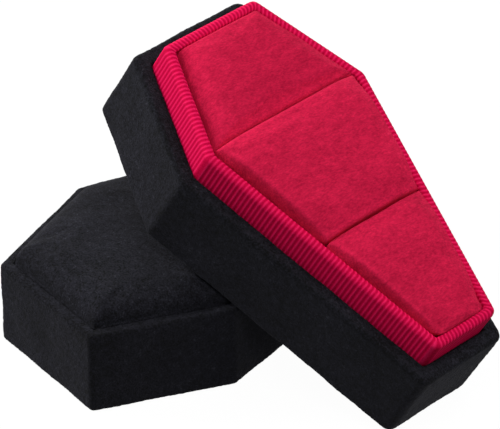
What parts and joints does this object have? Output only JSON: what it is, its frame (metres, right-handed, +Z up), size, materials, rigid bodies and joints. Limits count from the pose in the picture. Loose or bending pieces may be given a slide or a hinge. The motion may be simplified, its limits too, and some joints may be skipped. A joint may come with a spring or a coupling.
{
  "type": "velvet ring box",
  "caption": "Coffin-shaped velvet ring box, open: tray with ribbon collar and padded ring slots leaning on its lift-off lid.",
  "frame": {"origin": "middle of the footprint of the two halves as they rest together, on the floor", "axes": "+Z up, +Y along the lid from its head end to its foot end, +X to the side where the base's foot end reaches the floor"},
  "size_m": [0.0998, 0.095, 0.0687],
  "materials": {
    "black_velvet": "short-pile black velvet, matt with a soft sheen at grazing angles",
    "red_velvet": "short-pile crimson velvet with a mottled nap",
    "red_ribbon": "crimson ribbed ribbon, satin threads",
    "black_lining": "thin black lining cloth",
    "greyboard": "raw grey board",
    "foam": "white soft foam"
  },
  "bodies": {
    "lid": {"lid_wall_wrap": "black_velvet", "lid_wall_board": "greyboard", "lid_wall_lining": "black_lining", "lid_top_board": "greyboard", "lid_ceiling_board": "greyboard", "lid_ceiling_lining": "red_velvet", "lid_top_foam": "foam", "lid_top_cover": "black_velvet"},
    "base": {"base_wall_wrap": "black_velvet", "base_wall_board": "greyboard", "base_bottom_cover": "black_velvet", "base_floor_board": "greyboard", "collar_board": "greyboard", "collar_ribbon": "red_ribbon", "insert_board": "greyboard", "head_pad_foam": "foam", "head_pad_cover": "red_velvet", "middle_pad_foam": "foam", "middle_pad_cover": "red_velvet", "foot_pad_foam": "foam", "foot_pad_cover": "red_velvet"}
  },
  "joints": [
    {"name": "base_lift", "type": "slide", "parent": "lid", "child": "base", "axis": [0, 0, 1], "range_m": [0, 0.06]}
  ]
}
